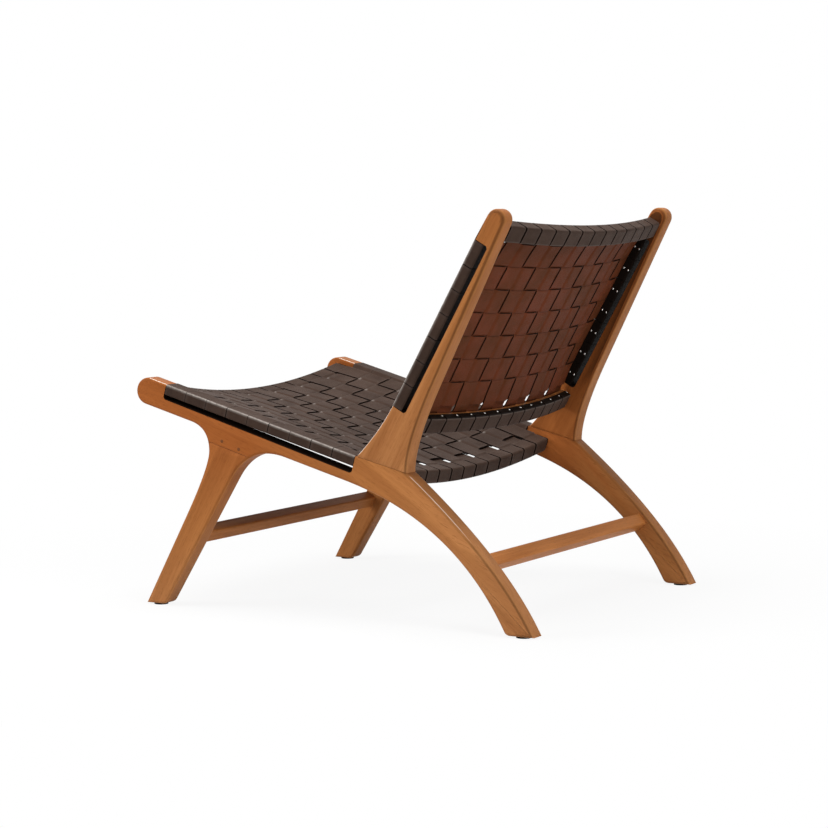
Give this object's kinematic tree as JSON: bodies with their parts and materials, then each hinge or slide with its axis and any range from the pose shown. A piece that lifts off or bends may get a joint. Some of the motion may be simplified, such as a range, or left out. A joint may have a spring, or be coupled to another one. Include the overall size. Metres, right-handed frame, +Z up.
{
  "type": "leather sling lounge chair",
  "caption": "Low armless lounge chair: a reclined timber frame with arched rear legs, whose seat and back are a sagging weave of flat leather straps.",
  "frame": {"origin": "on the floor, below the middle of the chair's box", "axes": "+Z up, -Y the way the sitter faces, +X the sitter's left"},
  "size_m": [0.696, 0.8126, 0.7219],
  "materials": {
    "teak": "oiled satin",
    "strap_leather": "soft grain, low sheen",
    "glide_rubber": "matte"
  },
  "bodies": {
    "root": {"side_rail_left": "teak", "side_rail_right": "teak", "front_leg_left": "teak", "front_leg_right": "teak", "back_post_left": "teak", "back_post_right": "teak", "front_stretcher": "teak", "rear_stretcher": "teak", "seat_front_rail": "teak", "seat_rear_rail": "teak", "back_top_rail": "teak", "back_bottom_rail": "teak", "front_glide_left": "glide_rubber", "rear_glide_left": "glide_rubber", "front_glide_right": "glide_rubber", "rear_glide_right": "glide_rubber", "seat_long_strap_01": "strap_leather", "seat_long_strap_02": "strap_leather", "seat_long_strap_03": "strap_leather", "seat_long_strap_04": "strap_leather", "seat_long_strap_05": "strap_leather", "seat_long_strap_06": "strap_leather", "seat_long_strap_07": "strap_leather", "seat_long_strap_08": "strap_leather", "seat_long_strap_09": "strap_leather", "seat_long_strap_10": "strap_leather", "seat_long_strap_11": "strap_leather", "seat_long_strap_12": "strap_leather", "seat_long_strap_13": "strap_leather", "back_upright_strap_01": "strap_leather", "back_upright_strap_02": "strap_leather", "back_upright_strap_03": "strap_leather", "back_upright_strap_04": "strap_leather", "back_upright_strap_05": "strap_leather", "back_upright_strap_06": "strap_leather", "back_upright_strap_07": "strap_leather", "back_upright_strap_08": "strap_leather", "back_upright_strap_09": "strap_leather", "back_upright_strap_10": "strap_leather", "back_upright_strap_11": "strap_leather", "back_upright_strap_12": "strap_leather", "back_upright_strap_13": "strap_leather", "seat_cross_strap_1": "strap_leather", "seat_cross_strap_2": "strap_leather", "seat_cross_strap_3": "strap_leather", "seat_cross_strap_4": "strap_leather", "seat_cross_strap_5": "strap_leather", "seat_cross_strap_6": "strap_leather", "seat_cross_strap_7": "strap_leather", "seat_cross_strap_8": "strap_leather", "seat_cross_strap_9": "strap_leather", "back_cross_strap_1": "strap_leather", "back_cross_strap_2": "strap_leather", "back_cross_strap_3": "strap_leather", "back_cross_strap_4": "strap_leather", "back_cross_strap_5": "strap_leather", "back_cross_strap_6": "strap_leather", "back_cross_strap_7": "strap_leather"}
  },
  "joints": []
}
